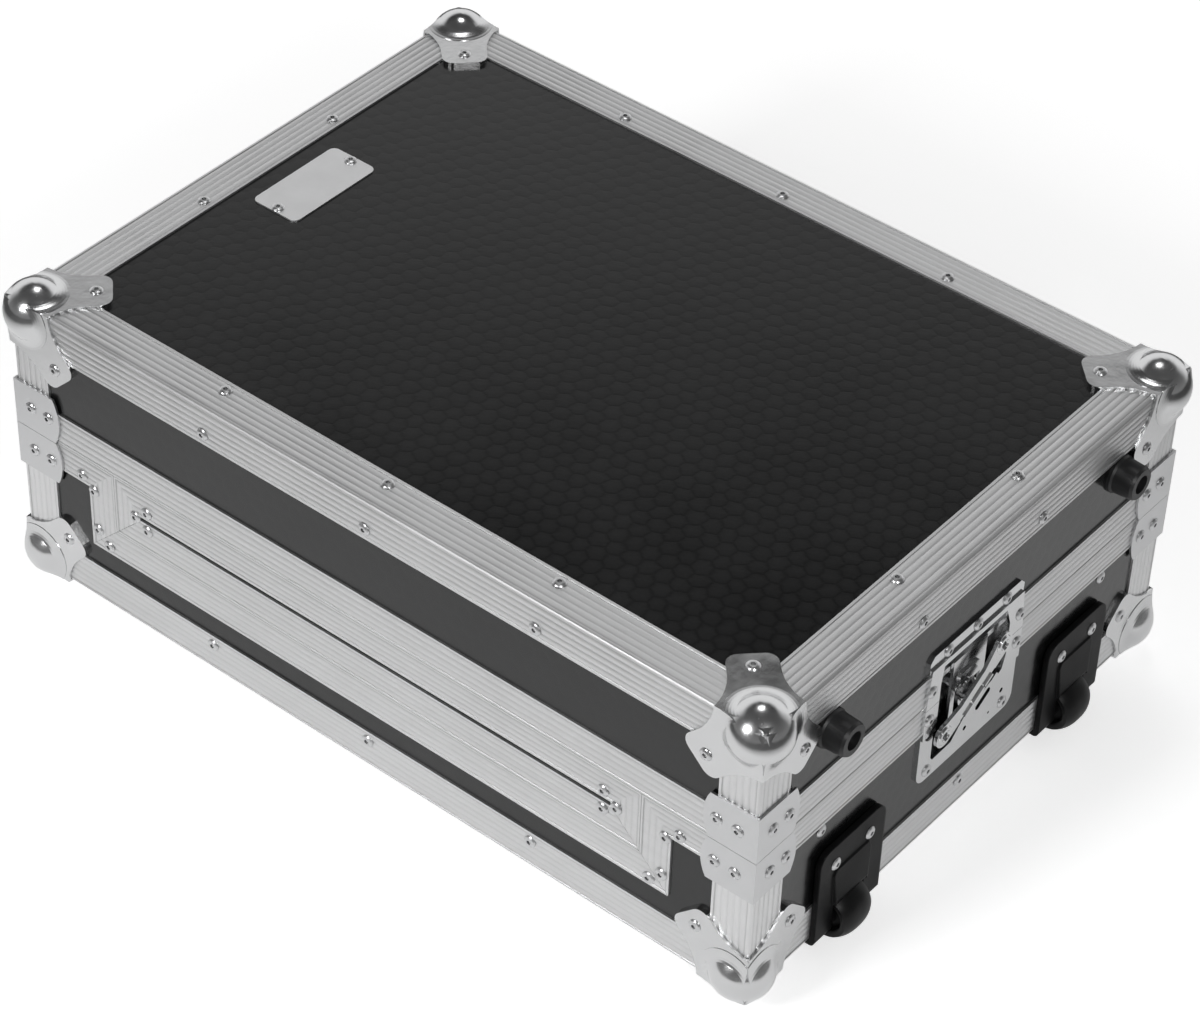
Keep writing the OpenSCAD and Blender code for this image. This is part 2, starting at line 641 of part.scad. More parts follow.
module lid_foot_screws() color(steel) place() translate([-metal_t, 0, 0]) on_right()
  for (p = lid_foot_places) translate(p) foot_screw();

/* Corner wheels */
module at_wheel(side) translate([case_l / 2 - axle_inset, side * wheel_y, axle_inset])
  rotate([90, 0, 0]) children();
// The cover over the wheel: a wedge that leans out towards its lower edge
hood_low = 20;
hood_rise = 2.4;
module wheel_hood() intersection() {
  high = housing_h - 22;
  rotate([90, 0, 0]) linear_extrude(wheel_w + 2 * housing_t + 6, center = true)
    polygon([[0, hood_low], [housing_t + hood_rise, hood_low + 1],
      [housing_t + hood_rise, hood_low + 4], [housing_t + 1, high], [0, high + 3]]);
  rotate([90, 0, 90]) linear_extrude(housing_t + hood_rise + cut) polygon([
    [-16.5, hood_low], [16.5, hood_low], [19, high - 4], [15, high + 3], [-15, high + 3],
    [-19, high - 4]]);
}
module wheel_housing() {
  difference() {
    union() {
      rotate([90, 0, 90]) linear_extrude(housing_t) {
        translate([0, (housing_h - 10) / 2]) square([housing_w, housing_h - 10], center = true);
        translate([0, housing_h - 20]) rounded(housing_w, 40, 10);
      }
      translate([-48, -housing_w / 2, -housing_t]) cube([48, housing_w, housing_t]);
      rotate([90, 0, 0]) intersection() {
        cylinder(r = housing_t, h = housing_w, center = true);
        translate([0, -2 * housing_t, -housing_w]) cube([2 * housing_t, 2 * housing_t, 2 * housing_w]);
      }
      block([-cup_reach, -cup_w / 2, 0], [0, cup_w / 2, cup_reach]);
      wheel_hood();
    }
    translate([-axle_inset, 0, axle_inset]) rotate([90, 0, 0]) {
      cylinder(r = wheel_r + cup_gap, h = wheel_w + 2 * cup_gap, center = true, $fn = 96);
      cylinder(r = axle_r + 0.05, h = cup_w + 2 * cut, center = true);
    }
  }
}
module wheel_housings() color(plastic) place() for (s = pair)
  translate([case_l / 2, s * wheel_y, 0]) wheel_housing();
module wheel_axles() color(steel) place() for (s = pair) at_wheel(s)
  cylinder(r = axle_r, h = cup_w - 0.4, center = true);
hub_r = 12;
module tyre() rotate_extrude($fn = 96) polygon([[hub_r, -wheel_w / 2 + 2],
  [wheel_r - 3, -wheel_w / 2], [wheel_r - 1, -wheel_w / 2 + 1], [wheel_r, -wheel_w / 2 + 4],
  [wheel_r, wheel_w / 2 - 4], [wheel_r - 1, wheel_w / 2 - 1], [wheel_r - 3, wheel_w / 2],
  [hub_r, wheel_w / 2 - 2]]);
module hub() rotate_extrude($fn = 96) polygon([[axle_r + run_fit, -wheel_w / 2 + 0.5],
  [axle_r + 3, -wheel_w / 2 + 0.5], [axle_r + 3, -wheel_w / 2 + 5],
  [hub_r, -wheel_w / 2 + 5], [hub_r, wheel_w / 2 - 5], [axle_r + 3, wheel_w / 2 - 5],
  [axle_r + 3, wheel_w / 2 - 0.5], [axle_r + run_fit, wheel_w / 2 - 0.5]]);
module front_wheel_tyre() color(plastic) place() at_wheel(-1) tyre();
module front_wheel_hub() color(plastic) place() at_wheel(-1) hub();
module rear_wheel_tyre() color(plastic) place() at_wheel(1) tyre();
module rear_wheel_hub() color(plastic) place() at_wheel(1) hub();

/* Butterfly latch: y is measured from the joint, up the end face */
module at_latch() translate([0, parting_z, 0]) children();
plate_overlap = 3;
opening_points = [[-36, 28], [-38, 14], [-38, -50], [-35.5, -53], [-16, -52.5], [-8.5, -45],
  [0.5, -36], [25, -28.5], [33, -23], [36, -12], [36, 14], [31, 28]];
latch_rivet_y = latch_half_w - 5;
latch_base_places = [for (s = pair) [s * latch_rivet_y, -10]];
latch_low_places = [for (s = pair) [s * (latch_half_w - 11), 7.5 - latch_down]];
latch_lid_places = [for (s = pair) [s * latch_rivet_y, 14]];
latch_top_up = latch_up - rivet_d / 2 - 0.5;
latch_top_places = [for (t = [-0.6, 0, 0.6]) [t * latch_half_w, latch_top_up]];
keeper_step = latch_top_up - rivet_d / 2 - 0.5;
module latch_base_rivets() at_latch() {
  rivets_at(latch_base_places, latch_t);
  rivets_at(latch_low_places, latch_t - metal_t);
}
module latch_lid_rivets() at_latch() {
  rivets_at(latch_lid_places, latch_t);
  rivets_at(latch_top_places, latch_t - metal_t);
}
module pocket_box(y0, y1) difference() {
  block([-pocket_half_w, y0, -pocket_depth], [pocket_half_w, y1, 0]);
  block([-pocket_half_w + pocket_wall, (y0 < 0 ? y0 + pocket_wall : y0 - cut),
    -pocket_depth + pocket_wall], [pocket_half_w - pocket_wall,
    (y0 < 0 ? y1 + cut : y1 - pocket_wall), cut]);
}
spindle_z = -spindle_drop;
pivot_r = 3.5;
module latch_dish() color(chrome) at_latch() difference() {
  union() {
    pocket_box(pocket_low - parting_z, 0);
    linear_extrude(latch_t) polygon([[-latch_half_w, 0], [latch_half_w, 0],
      [latch_half_w, -base_rim_h - plate_overlap], [-latch_half_w, -base_rim_h - plate_overlap]]);
    translate([0, (-base_rim_h - seat_gap - latch_down) / 2, -metal_t])
      linear_extrude(latch_t) union() {
        h = latch_down - base_rim_h - seat_gap;
        rounded(2 * latch_half_w, h, 9);
        translate([0, h / 4]) square([2 * latch_half_w, h / 2], center = true);
      }
  }
  translate([0, 0, -metal_t - cut]) linear_extrude(latch_t + metal_t + 2 * cut)
    polygon(opening_points);
  // Clear the pocket behind the plate
  block([-pocket_half_w + pocket_wall, pocket_low - parting_z + pocket_wall,
    -pocket_depth + pocket_wall], [pocket_half_w - pocket_wall, cut, -metal_t]);
  translate([0, spindle_z, -pocket_depth - cut]) cylinder(r = pivot_r + 0.2, h = 4);
  translate([17, -38.5, 0]) rotate([0, 0, 32]) linear_extrude(8, center = true)
    rounded(17, 5.2, 2.5);
  for (p = [[-1, -51, 1.8], [38.5, -46.5, 1.8], [26, -57, 1]])
    translate([p[0], p[1], 0]) cylinder(r = p[2], h = 8, center = true);
}
keeper_low = 8;
keeper_high = 12;
keeper_back = -7;
keeper_front = -4.6;
module latch_keeper() color(chrome) at_latch() {
  difference() {
    union() {
      pocket_box(seat_gap, pocket_high - parting_z);
      linear_extrude(latch_t) polygon([[-latch_half_w, seat_gap], [latch_half_w, seat_gap],
        [latch_half_w - 3, keeper_step], [-latch_half_w + 3, keeper_step]]);
      translate([0, 0, -metal_t]) linear_extrude(latch_t) polygon([
        [-latch_half_w + 2.5, lid_rim_h + 2 * seat_gap], [latch_half_w - 2.5, lid_rim_h + 2 * seat_gap],
        [latch_half_w - 2, latch_up - 4], [latch_half_w - 6, latch_up],
        [6 - latch_half_w, latch_up], [2 - latch_half_w, latch_up - 4]]);
    }
    translate([0, 0, -metal_t - cut]) linear_extrude(latch_t + metal_t + 2 * cut)
      polygon(opening_points);
    block([-pocket_half_w + pocket_wall, -cut, -pocket_depth + pocket_wall],
      [pocket_half_w - pocket_wall, pocket_high - parting_z - pocket_wall, -metal_t]);
  }
  block([-pocket_half_w + pocket_wall / 2, keeper_low, keeper_back],
    [pocket_half_w - pocket_wall / 2, keeper_high, keeper_front]);
}
cam_r = 9;
cam_slack = 1.2;
hook_back = -4.2;
hook_front = -2.2;
hook_half_w = cam_r + cam_throw + 5;
claw_z = 15;
claw_back = -10.4;
module latch_hook() color(chrome) at_latch() {
  cam_z = spindle_z - cam_throw;
  slot_h = cam_r + cam_slack;
  slot_w = cam_r + cam_throw + 0.5;
  difference() {
    block([-hook_half_w, cam_z - slot_h - 3.5, hook_back],
      [hook_half_w, claw_z - 1, hook_front]);
    block([-slot_w, cam_z - slot_h, hook_back - cut], [slot_w, cam_z + slot_h, hook_front + cut]);
  }
  block([-hook_half_w, claw_z - 2, claw_back], [hook_half_w, claw_z, hook_front]);
  block([-hook_half_w, keeper_low - 0.5, claw_back], [hook_half_w, claw_z, claw_back + 1.8]);
  translate([0, -4, hook_front]) linear_extrude(1.4) rounded(22, 10, 4);
}
wing_axis_up = 3.2;
eye_r = 2.6;
shaft_r = cam_r - cam_throw - 0.5;
pin_r = 1.3;
module latch_spindle() color(chrome) at_latch() translate([0, spindle_z, 0]) {
  floor_z = -pocket_depth + pocket_wall;
  difference() {
    union() {
      rotate_extrude() polygon([[0, -pocket_depth], [pivot_r, -pocket_depth],
        [pivot_r, floor_z + 0.3], [shaft_r, floor_z + 0.3], [shaft_r, hook_front + 0.4],
        [9, hook_front + 0.4], [8.6, -0.2], [7, 1.2], [0, 1.2]]);
      translate([0, -cam_throw, hook_back - 0.3]) cylinder(r = cam_r, h = 2.5);
      rotate([0, 0, wing_angle]) {
        translate([-6, -eye_r + 0.2, 0]) cube([12, 2 * eye_r - 0.4, latch_t + wing_axis_up]);
        translate([-6, 0, latch_t + wing_axis_up]) rotate([0, 90, 0]) cylinder(r = eye_r, h = 12);
      }
    }
    rotate([0, 0, wing_angle]) translate([-9, 0, latch_t + wing_axis_up])
      rotate([0, 90, 0]) cylinder(r = pin_r + 0.1, h = 18);
  }
}
module on_wing() at_latch() translate([0, spindle_z, latch_t + wing_axis_up])
  rotate([0, 0, wing_angle]) children();
wing_t = 2.4;
lobe_v = 8.5;
module latch_wing() color(chrome) on_wing() difference() {
  union() {
    translate([0, 0, -wing_t / 2]) linear_extrude(wing_t) {
      for (s = pair) translate([s * wing_reach, lobe_v]) circle(lobe_r);
      polygon([[-wing_reach, lobe_v - lobe_r], [wing_reach, lobe_v - lobe_r],
        [wing_reach, lobe_v + lobe_r], [14, 11], [-14, 11], [-wing_reach, lobe_v + lobe_r]]);
    }
    for (s = pair) translate([s * wing_reach, lobe_v, wing_t / 2]) rotate_extrude()
      polygon([[3.6, 0], [7, 0], [6.3, 1], [4.3, 1]]);
    for (s = pair) translate([s * 11.5, 0, 0]) rotate([0, 90, 0])
      cylinder(r = eye_r, h = 9, center = true);
  }
  block([-6.6, -20, -5], [6.6, 4.2, 5]);
  for (s = pair) translate([s * wing_reach, lobe_v, -5]) cylinder(r = 2.4, h = 10);
  translate([-20, 0, 0]) rotate([0, 90, 0]) cylinder(r = pin_r + 0.05, h = 40);
}
module latch_wing_pin() color(steel) on_wing() rotate([0, 90, 0])
  cylinder(r = pin_r, h = 31, center = true);

module right_latch_dish() place() on_right() latch_dish();
module left_latch_dish() place() on_left() latch_dish();
module right_latch_keeper() place() on_right() latch_keeper();
module left_latch_keeper() place() on_left() latch_keeper();
module right_latch_spindle() place() on_right() latch_spindle();
module left_latch_spindle() place() on_left() latch_spindle();
module right_latch_wing() place() on_right() latch_wing();
module left_latch_wing() place() on_left() latch_wing();
module right_latch_wing_pin() place() on_right() latch_wing_pin();
module left_latch_wing_pin() place() on_left() latch_wing_pin();
module right_latch_hook() place() on_right() latch_hook();
module left_latch_hook() place() on_left() latch_hook();

/* Carry handle in the rear wall */
bail_r = 3;
grip_r = 6;
handle_wall = 1.2;
bail_in = 8;
module at_handle() on_rear() translate([0, handle_z, 0]) children();
module handle_dish() color(steel) place() at_handle() difference() {
  union() {
    translate([0, 0, -metal_t]) linear_extrude(metal_t) rounded(handle_w, handle_h, 8);
    translate([0, 0, -handle_depth]) linear_extrude(handle_depth - metal_t / 2)
      rounded(handle_pocket_w, handle_pocket_h, 6);
  }
  difference() {
    translate([0, 0, -handle_depth + handle_wall]) linear_extrude(handle_depth + cut)
      rounded(handle_pocket_w - 2 * handle_wall, handle_pocket_h - 2 * handle_wall, 5);
    for (s = pair) translate([s * (ear_in + ear_in_wall) / 2, bail_up, -bail_in])
      cube([ear_in_wall - ear_in, 11, 11], center = true);
  }
  translate([0, bail_up, -bail_in]) rotate([0, 90, 0])
    cylinder(r = bail_r + 0.2, h = handle_pocket_w - 2 * handle_wall, center = true);
}
bail_up = bail_reach / 2 + 1;
ear_in = bail_w / 2 + bail_r + seat_gap;
ear_in_wall = handle_pocket_w / 2;
module handle_bail() color(chrome) place() at_handle() translate([0, bail_up, -bail_in]) {
  for (s = pair) {
    translate([s * bail_w / 2, 0, 0]) rotate([90, 0, 0]) cylinder(r = bail_r, h = bail_reach);
    translate([s * bail_w / 2, 0, 0]) sphere(bail_r);
    translate([s * bail_w / 2, -bail_reach, 0]) sphere(bail_r);
    translate([s * (bail_w / 2 + handle_pocket_w / 2 - handle_wall) / 2, 0, 0])
      rotate([0, 90, 0]) cylinder(r = bail_r,
        h = (handle_pocket_w - bail_w) / 2 - handle_wall - seat_gap, center = true);
  }
  translate([0, -bail_reach, 0]) rotate([0, 90, 0])
    cylinder(r = bail_r, h = bail_w, center = true);
}
module handle_grip() color(plastic) place() at_handle()
  translate([0, bail_up - bail_reach, -bail_in]) rotate([0, 90, 0]) difference() {
    cylinder(r = grip_r, h = bail_w - 14, center = true);
    cylinder(r = bail_r + 0.05, h = bail_w, center = true);
  }

/* Foam linings */
module base_floor_foam() color(foam) place() difference() {
  block([-case_l / 2 + end_foam_in, -case_w / 2 + wall_in, wall_in],
    [case_l / 2 - end_foam_in, case_w / 2 - wall_in, floor_foam_top]);
}
base_foam_top = base_board_top - rim_lip - seat_gap;
module base_wall_foam() color(foam) place() {
  on_front() block([-case_l / 2 + end_foam_in, floor_foam_top, -wall_foam_in],
    [case_l / 2 - end_foam_in, seam_z - web_h - rim_lip - seat_gap, -wall_in]);
  difference() {
    on_rear() block([-case_l / 2 + end_foam_in, floor_foam_top, -wall_foam_in],
      [case_l / 2 - end_foam_in, base_foam_top, -wall_in]);
    at_handle() translate([0, 0, -wall_foam_in - cut]) linear_extrude(2 * foam_t)
      square([handle_pocket_w + 2, handle_pocket_h + 2], center = true);
  }
  difference() {
    on_ends() block([-case_w / 2 + wall_in, wall_in, -end_foam_in],
      [case_w / 2 - wall_in, base_foam_top, -wall_in]);
    cup_room();
    on_ends() block([-pocket_half_w - cut, pocket_low - cut, -pocket_depth - cut],
      [pocket_half_w + cut, parting_z, 0]);
  }
}
module lid_top_foam() color(foam) place()
  block([-case_l / 2 + wall_in, -case_w / 2 + wall_in, lid_foam_low],
    [case_l / 2 - wall_in, case_w / 2 - wall_in, inner_top]);
lid_wall_low = lid_board_low + rim_lip + seat_gap;
module lid_wall_foam() color(foam) place() {
  for (turn = [0, 180]) rotate([0, 0, turn]) on_front()
    block([-case_l / 2 + end_foam_in, lid_wall_low, -wall_foam_in],
      [case_l / 2 - end_foam_in, lid_foam_low, -wall_in]);
  difference() {
    on_ends() block([-case_w / 2 + wall_in, lid_wall_low, -end_foam_in],
      [case_w / 2 - wall_in, lid_foam_low, -wall_in]);
    on_ends() block([-pocket_half_w - cut, parting_z, -pocket_depth - cut],
      [pocket_half_w + cut, pocket_high + cut, 0]);
  }
}

base_floor_panel();
base_front_panel();
base_rear_panel();
base_left_panel();
base_right_panel();
base_bottom_angles();
base_corner_angles();
base_rims();
opening_liner();
base_ball_corners();
base_corner_braces();
base_rivets();
base_floor_foam();
base_wall_foam();
base_feet();
base_foot_screws();
wheel_housings();
wheel_axles();
right_latch_dish();
left_latch_dish();
handle_dish();
lid_top_panel();
lid_front_panel();
lid_rear_panel();
lid_left_panel();
lid_right_panel();
lid_top_angles();
lid_corner_angles();
lid_rims();
lid_ball_corners();
lid_corner_braces();
lid_rivets();
lid_top_foam();
lid_wall_foam();
lid_feet();
lid_foot_screws();
name_plate();
right_latch_keeper();
left_latch_keeper();
front_panel_board();
front_panel_top_rim();
front_panel_edging();
front_panel_foam();
front_panel_rivets();
front_wheel_tyre();
front_wheel_hub();
rear_wheel_tyre();
rear_wheel_hub();
right_latch_spindle();
right_latch_wing();
right_latch_wing_pin();
right_latch_hook();
left_latch_spindle();
left_latch_wing();
left_latch_wing_pin();
left_latch_hook();
handle_bail();
handle_grip();
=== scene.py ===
"""A DJ flight case on a pale floor: fluted aluminium, black honeycomb laminate, bright steel.

Lengths are in metres, angles in degrees, and colours are linear.
"""
import math

import bpy
from mathutils import Matrix, Vector


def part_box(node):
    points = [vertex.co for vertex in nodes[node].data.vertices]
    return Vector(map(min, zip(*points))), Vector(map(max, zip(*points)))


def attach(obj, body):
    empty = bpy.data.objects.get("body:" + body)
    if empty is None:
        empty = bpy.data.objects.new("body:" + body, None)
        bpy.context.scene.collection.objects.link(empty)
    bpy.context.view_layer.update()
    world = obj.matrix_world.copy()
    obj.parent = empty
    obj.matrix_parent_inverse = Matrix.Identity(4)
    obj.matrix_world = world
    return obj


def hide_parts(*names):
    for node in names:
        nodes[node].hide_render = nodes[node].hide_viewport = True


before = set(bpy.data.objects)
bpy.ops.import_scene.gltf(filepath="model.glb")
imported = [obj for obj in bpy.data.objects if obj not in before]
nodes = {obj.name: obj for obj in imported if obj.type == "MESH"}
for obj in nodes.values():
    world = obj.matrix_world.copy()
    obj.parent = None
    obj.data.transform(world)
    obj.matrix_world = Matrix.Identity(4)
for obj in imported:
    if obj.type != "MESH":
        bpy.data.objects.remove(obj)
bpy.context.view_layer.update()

# Camera of the photograph, with SENSOR_WIDTH in millimetres and FRAME_PIXELS across
CAMERA_PLACE = (1.1680, -1.4881, 1.7346)
CAMERA_AZIMUTH = 37.98
CAMERA_ELEVATION = 40.91
CAMERA_ROLL = 2.16
FOCAL_PIXELS = 3769.6
FRAME_PIXELS = 1200
SENSOR_WIDTH = 36.0
CLIP_END = 50.0

# The room: the way to the wall behind the case, (sine of the elevation, level) of that wall
# and of the rest, and the cosines between which the wall fades in
WALL_SIDE = (-0.615, 0.788, 0.0)
WALL_STOPS = [(0.0, 1.0), (0.50, 1.0), (0.59, 0.68), (0.64, 0.24), (0.68, 0.03), (1.0, 0.05)]
ROOM_STOPS = [(0.0, 0.26), (0.30, 0.17), (0.66, 0.10), (1.0, 0.08)]
WALL_EDGE = (0.15, 0.60)
WHITE = (1, 1, 1, 1)

# The floor: half its side, the distances between which it turns dim, and its glow near the
# case to mirrors and to the camera (farther out it is 0 and 1)
FLOOR_REACH = 6.0
NEAR_FLOOR = (0.55, 0.95)
NEAR_GLOW = 0.29
CAMERA_GLOW = 0.55

# Square lamps: name, place, aim, side, watts
LAMPS = [
    ("front_box", (-0.42, -2.40, 1.50), (0, 0, 0.1), 0.7, 32.0),
    ("side_box", (1.95, -1.35, 1.75), (0, 0, 0.1), 0.55, 24.0),
    ("top_box", (-0.95, 1.20, 4.30), (0, 0, 0.2), 1.0, 17.0),
]

# Colours of the surfaces
LAMINATE = (0.0060, 0.0061, 0.0063)
ALUMINIUM = (0.690, 0.692, 0.696)
# A lighter copy of ALUMINIUM for the upright bars: painted light, for the light their
# vertical flutes catch
LIT_UPRIGHT = (0.745, 0.747, 0.751)
STEEL = (0.660, 0.663, 0.668)
ZINC = (0.620, 0.623, 0.630)
BLANK = (0.860, 0.863, 0.870)
FOAM = (0.012, 0.012, 0.013)
RUBBER = (0.010, 0.010, 0.0105)
PLASTIC = (0.0055, 0.0055, 0.0057)
FLOOR = (0.86, 0.86, 0.86)
FAR_FLOOR = (0.12, 0.12, 0.12)

# The honeycomb: width of a cell, how far its edges wander, the groove's share of the width,
# and the number of cells by which the grid is shifted, so that no coordinate is negative
HEX_PITCH = 0.0125
HEX_DRIFT = 0.0065
HEX_GROOVE = 0.16
HEX_START = 400.0
ROOT_3 = math.sqrt(3.0)

# A face counts as facing an axis from this cosine on
FACING = 0.6
# Values between which most of a noise lies
NOISE_BODY = (0.3, 0.7)
# Reach of the shade between flutes, and the scale of the drawn lines along the bar
FLUTE_REACH = 0.003
DRAWN = 0.012
# Rays per point for the shade between flutes, in pressed hollows and for rounded edges
FLUTE_RAYS = 24
PIT_RAYS = 16
EDGE_RAYS = 6

# Rounding of edges: (width, segments), and the angle from which an edge is rounded
FOAM_EDGE = (0.0022, 3)
PRESSED_EDGE = (0.0008, 2)
LATCH_EDGE = (0.0004, 2)
EDGE_ANGLE = 40
# Edges flatter than this are shaded smooth
SMOOTH_ANGLE = 30

# The tread: steps round it and across it, the drop and curve of its crown, its lip at the hub
TYRE_STEPS = 96
CROWN_STEPS = 20
CROWN_DROP = 0.0034
CROWN_POWER = 2.6
LIP = 0.0016
TYRE_SMOOTH_ANGLE = 50

# Where the base's level bars lie: its side faces, the middle of its length, its end faces
rim_low, rim_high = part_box("base_rims")
SIDE_FACE = rim_high[1]
MIDDLE_X = (rim_low[0] + rim_high[0]) / 2
END_FACE = (rim_high[0] - rim_low[0]) / 2


class Graph:
    """A node tree with short calls for adding nodes."""

    # Sockets of the Mix node for each type of data: first value, second value, result
    MIX_SOCKETS = {"VECTOR": (4, 5, 1), "RGBA": (6, 7, 2)}

    def __init__(self, tree):
        self.tree = tree

    def add(self, kind, inputs=None, **settings):
        node = self.tree.nodes.new(kind)
        for key, value in settings.items():
            setattr(node, key, value)
        for key, value in (inputs or {}).items():
            self.set(node.inputs[key], value)
        return node

    def set(self, socket, value):
        if isinstance(value, bpy.types.NodeSocket):
            self.tree.links.new(value, socket)
        else:
            socket.default_value = value

    def math(self, operation, a, b=0.0, clamp=False):
        node = self.add("ShaderNodeMath", {0: a, 1: b}, operation=operation, use_clamp=clamp)
        return node.outputs[0]

    def total(self, first, *others):
        for value in others:
            first = self.math("ADD", first, value)
        return first

    def vector(self, operation, a, b=(0, 0, 0)):
        node = self.add("ShaderNodeVectorMath", {0: a, 1: b}, operation=operation)
        return node.outputs["Value" if operation in ("DOT_PRODUCT", "LENGTH") else "Vector"]

    def parts(self, vector):
        return self.add("ShaderNodeSeparateXYZ", {0: vector}).outputs

    def flat(self, x, y):
        return self.add("ShaderNodeCombineXYZ", {"X": x, "Y": y}).outputs[0]

    def mix(self, kind, factor, first, second):
        a, b, result = self.MIX_SOCKETS[kind]
        inputs = {"Factor": factor, a: first, b: second}
        return self.add("ShaderNodeMix", inputs, data_type=kind).outputs[result]

    def span(self, value, low, high, source=(0.0, 1.0)):
        inputs = {0: value, 1: source[0], 2: source[1], 3: low, 4: high}
        return self.add("ShaderNodeMapRange", inputs, clamp=True).outputs[0]

    def ramp(self, value, stops):
        node = self.add("ShaderNodeValToRGB", {"Fac": value})
        elements = node.color_ramp.elements
        while len(elements) < len(stops):
            elements.new(0.5)
        for element, (position, color) in zip(elements, stops):
            element.position = position
            element.color = (*color, 1)
        return node.outputs["Color"]


class Shader(Graph):
    """A Principled material with short calls for its textures."""

    def __init__(self, name, color, roughness, metallic=0.0, specular=0.5):
        self.material = bpy.data.materials.new(name)
        self.material.use_nodes = True
        super().__init__(self.material.node_tree)
        self.surface = self.tree.nodes["Principled BSDF"]
        self.surface.inputs["Base Color"].default_value = (*color, 1)
        self.surface.inputs["Roughness"].default_value = roughness
        self.surface.inputs["Metallic"].default_value = metallic
        self.surface.inputs["Specular IOR Level"].default_value = specular

    def place(self):
        return self.add("ShaderNodeTexCoord").outputs["Object"]

    def noise(self, place, scale, detail, roughness=0.55, output="Fac"):
        inputs = {"Vector": place, "Scale": scale, "Detail": detail, "Roughness": roughness}
        return self.add("ShaderNodeTexNoise", inputs).outputs[output]

    def openness(self, reach, rays):
        """1 in the open, less in a hollow of the piece itself within this reach."""
        return self.add("ShaderNodeAmbientOcclusion", {"Distance": reach}, samples=rays,
                        only_local=True).outputs["AO"]

    def bump(self, height, distance, strength=1.0, normal=None):
        inputs = {"Height": height, "Distance": distance, "Strength": strength}
        if normal is not None:
            inputs["Normal"] = normal
        return self.add("ShaderNodeBump", inputs).outputs["Normal"]

    def finish(self, color=None, roughness=None, normal=None):
        values = (("Base Color", color), ("Roughness", roughness), ("Normal", normal))
        for name, value in values:
            if value is not None:
                self.set(self.surface.inputs[name], value)
        return self.material


def shade(color, factor):
    return tuple(channel * factor for channel in color)


def greys(stops):
    return [(position, (level, level, level)) for position, level in stops]


def latch_parts(*parts):
    """Names of these parts of both latches."""
    return [f"{side}_latch_{part}" for side in ("right", "left") for part in parts]


def face_plane(shader):
    """Coordinates along the face: X and Y on top, Y and Z on the ends, X and Z in front."""
    coords = shader.add("ShaderNodeTexCoord")
    place = shader.parts(coords.outputs["Object"])
    normal = shader.parts(coords.outputs["Normal"])
    level = shader.math("GREATER_THAN", shader.math("ABSOLUTE", normal["Z"]), FACING)
    end = shader.math("GREATER_THAN", shader.math("ABSOLUTE", normal["X"]), FACING)
    front_plane = shader.flat(place["X"], place["Z"])
    end_plane = shader.flat(place["Y"], place["Z"])
    top_plane = shader.flat(place["X"], place["Y"])
    wall_plane = shader.mix("VECTOR", end, front_plane, end_plane)
    return shader.mix("VECTOR", level, wall_plane, top_plane)


def hexagons(shader, place, pitch):
    """(distance from a cell's edge, from 0 to 0.5, and the cell's own place)."""
    step = (1.0, ROOT_3, 1.0)
    half = (0.5, ROOT_3 / 2, 0.5)
    flat = (1, 1, 0)
    scaled = shader.vector("MULTIPLY", place, (1 / pitch, 1 / pitch, 0))
    shifted = shader.vector("ADD", scaled, (HEX_START, HEX_START * ROOT_3, 0))
    first = shader.vector("SUBTRACT", shader.vector("MODULO", shifted, step), half)
    moved = shader.vector("SUBTRACT", shifted, half)
    second = shader.vector("SUBTRACT", shader.vector("MODULO", moved, step), half)
    first = shader.vector("MULTIPLY", first, flat)
    second = shader.vector("MULTIPLY", second, flat)
    nearer = shader.math("LESS_THAN", shader.vector("LENGTH", first),
                         shader.vector("LENGTH", second))
    local = shader.mix("VECTOR", nearer, second, first)
    size = shader.vector("ABSOLUTE", local)
    slant = shader.vector("DOT_PRODUCT", size, (0.5, ROOT_3 / 2, 0))
    across = shader.parts(size)["X"]
    from_edge = shader.math("SUBTRACT", 0.5, shader.math("MAXIMUM", slant, across))
    return from_edge, shader.vector("SUBTRACT", shifted, local)


def laminate():
    """Phenolic film with pressed honeycomb cells, each of a slightly different tone, and
    painted shade towards the grooves between them.
    """
    shader = Shader("black_laminate_film", LAMINATE, roughness=0.19, specular=0.43)
    drift = shader.noise(shader.place(), scale=70.0, detail=2.0, roughness=0.5,
                         output="Color")
    drift = shader.vector("SUBTRACT", drift, (0.5, 0.5, 0.5))
    drift = shader.vector("MULTIPLY", drift, (HEX_DRIFT, HEX_DRIFT, 0))
    plane = shader.vector("ADD", face_plane(shader), drift)
    from_edge, cell = hexagons(shader, plane, HEX_PITCH)
    groove = shader.span(from_edge, 0.0, 1.0, (0.0, HEX_GROOVE))
    dome = shader.math("SQRT", shader.span(from_edge, 0.0, 1.0, (0.0, 0.5)))
    own = shader.add("ShaderNodeTexWhiteNoise", {"Vector": shader.vector("FLOOR", cell)})
    grain = shader.noise(shader.place(), scale=900.0, detail=4.0)
    cloud = shader.noise(shader.place(), scale=9.0, detail=3.0)
    # The cells' own tones and the cloud are the film's; the darkening of each cell towards
    # its groove is painted shade
    lift = shader.total(shader.span(own.outputs["Value"], 0.0, 0.25),
                        shader.span(dome, 0.0, 0.55), shader.span(cloud, 0.0, 0.2))
    color = shader.ramp(lift, [(0.0, shade(LAMINATE, 0.45)), (0.6, LAMINATE),
                               (1.0, shade(LAMINATE, 1.5))])
    roughness = shader.total(shader.span(cloud, 0.16, 0.22, NOISE_BODY),
                             shader.span(groove, -0.03, 0.01))
    normal = shader.bump(dome, distance=0.00008, strength=0.42)
    normal = shader.bump(grain, distance=0.00002, strength=0.4, normal=normal)
    return shader.finish(color, roughness, normal)


